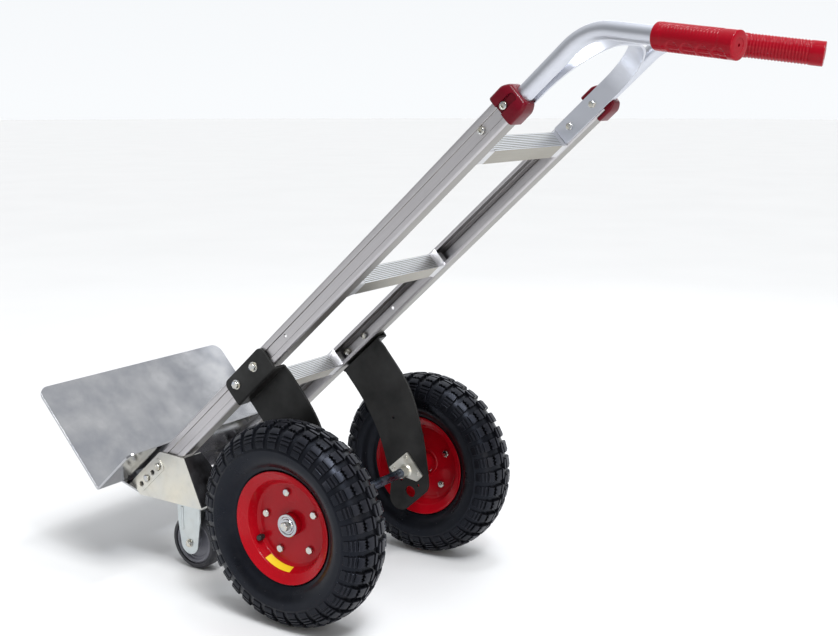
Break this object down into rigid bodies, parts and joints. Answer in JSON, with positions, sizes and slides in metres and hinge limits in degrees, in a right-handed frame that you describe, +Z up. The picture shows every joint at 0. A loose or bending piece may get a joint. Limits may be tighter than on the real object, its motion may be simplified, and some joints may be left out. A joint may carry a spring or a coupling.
{
  "type": "self-standing hand truck",
  "caption": "Aluminium hand truck that stands tilted on pneumatic wheels and fixed castors, with a ladder frame, bent handles with red grips, a loop bar and a folded steel toe plate.",
  "frame": {"origin": "on the floor, under the middle of the bounding box, on the object's left-right symmetry plane", "axes": "+Z up; +Y towards the handles; +X across the object, along its axle; the toe plate is at -Y"},
  "size_m": [0.47, 1.2286, 0.9161],
  "materials": {
    "alloy": "satin anodised extrusion",
    "casting": "smooth die casting",
    "grips": "bright red, glossy, ribbed",
    "clamps": "crimson, satin gloss",
    "rims": "gloss red paint on pressed steel",
    "brackets": "black powder coat",
    "tyres": "black rubber, block tread, satin sidewall",
    "zinc": "zinc plated fasteners",
    "zinc_sheet": "bright zinc plated pressed sheet",
    "steel": "bright drawn steel",
    "castor_rubber": "dark grey rubber",
    "castor_plastic": "mid grey moulded plastic"
  },
  "bodies": {
    "frame": {"stile_left": "alloy", "stile_right": "alloy", "rung_lower": "alloy", "rung_middle": "alloy", "rung_upper": "alloy", "handle_tube_left": "alloy", "handle_tube_right": "alloy", "loop_bar": "alloy", "rung_socket_lower_left": "casting", "rung_socket_lower_right": "casting", "rung_socket_middle_left": "casting", "rung_socket_middle_right": "casting", "rung_socket_upper_left": "casting", "rung_socket_upper_right": "casting", "grip_left": "grips", "grip_right": "grips", "clamp_left": "clamps", "clamp_right": "clamps", "wheel_bracket_left": "brackets", "wheel_bracket_right": "brackets", "clamp_screw_left": "zinc", "clamp_screw_right": "zinc", "handle_screw_left": "zinc", "handle_screw_right": "zinc", "bracket_bolt_lower_left": "zinc", "bracket_bolt_lower_right": "zinc", "bracket_bolt_upper_left": "zinc", "bracket_bolt_upper_right": "zinc", "castor_bracket_bolt_upper_left": "zinc", "castor_bracket_bolt_upper_right": "zinc", "castor_bracket_bolt_lower_left": "zinc", "castor_bracket_bolt_lower_right": "zinc", "castor_axle_bolt_left": "zinc", "castor_axle_bolt_right": "zinc", "axle_end_bolt_left": "zinc", "axle_end_bolt_right": "zinc", "toe_plate": "zinc_sheet", "axle_flange_left": "zinc_sheet", "axle_flange_right": "zinc_sheet", "castor_bracket_left": "zinc_sheet", "castor_bracket_right": "zinc_sheet", "castor_fork_left": "zinc_sheet", "castor_fork_right": "zinc_sheet", "axle": "steel"},
    "wheel_left": {"tyre_left": "tyres", "rim_outer_left": "rims", "rim_inner_left": "rims", "hub_left": "rims", "bearing_inner_left": "steel", "bearing_outer_left": "steel"},
    "wheel_right": {"tyre_right": "tyres", "rim_outer_right": "rims", "rim_inner_right": "rims", "hub_right": "rims", "bearing_inner_right": "steel", "bearing_outer_right": "steel"},
    "castor_wheel_left": {"castor_tyre_left": "castor_rubber", "castor_core_left": "castor_plastic"},
    "castor_wheel_right": {"castor_tyre_right": "castor_rubber", "castor_core_right": "castor_plastic"}
  },
  "joints": [
    {"name": "wheel_spin_left", "type": "hinge", "parent": "frame", "child": "wheel_left", "pos_m": [0.191, -0.06378, 0.165], "axis": [1, 0, 0], "continuous": true},
    {"name": "wheel_spin_right", "type": "hinge", "parent": "frame", "child": "wheel_right", "pos_m": [-0.191, -0.06378, 0.165], "axis": [1, 0, 0], "continuous": true},
    {"name": "castor_spin_left", "type": "hinge", "parent": "frame", "child": "castor_wheel_left", "pos_m": [0.107, -0.35078, 0.05], "axis": [1, 0, 0], "continuous": true},
    {"name": "castor_spin_right", "type": "hinge", "parent": "frame", "child": "castor_wheel_right", "pos_m": [-0.107, -0.35078, 0.05], "axis": [1, 0, 0], "continuous": true}
  ]
}
